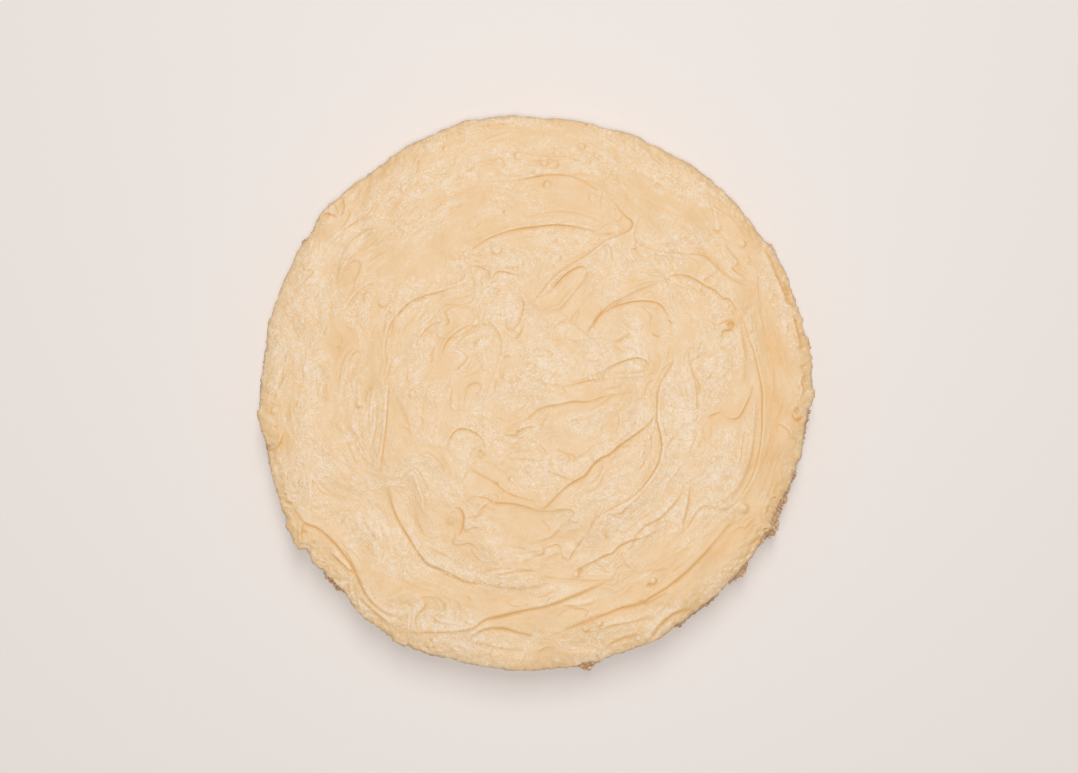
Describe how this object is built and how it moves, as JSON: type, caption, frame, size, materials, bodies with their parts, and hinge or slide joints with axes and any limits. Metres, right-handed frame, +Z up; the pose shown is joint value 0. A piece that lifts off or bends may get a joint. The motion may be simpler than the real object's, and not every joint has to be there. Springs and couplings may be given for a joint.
{
  "type": "cookie cake",
  "caption": "Thin round cake: a baked crumb base with a bare side under one layer of beige cream, spread in spatula swirls to a torn edge.",
  "frame": {"origin": "middle of the flat underside, on the surface that the cake stands on", "axes": "+Z up through the cake's thickness; the picture's top is +Y and its right is +X"},
  "size_m": [0.2563, 0.2549, 0.0262],
  "materials": {
    "crumb": "dry baked crumb, open and matt, tan",
    "cream": "smooth beige nut or caramel cream with a satin shine and fine speckle"
  },
  "bodies": {
    "root": {"cookie_base": "crumb", "cream_layer": "cream"}
  },
  "joints": []
}
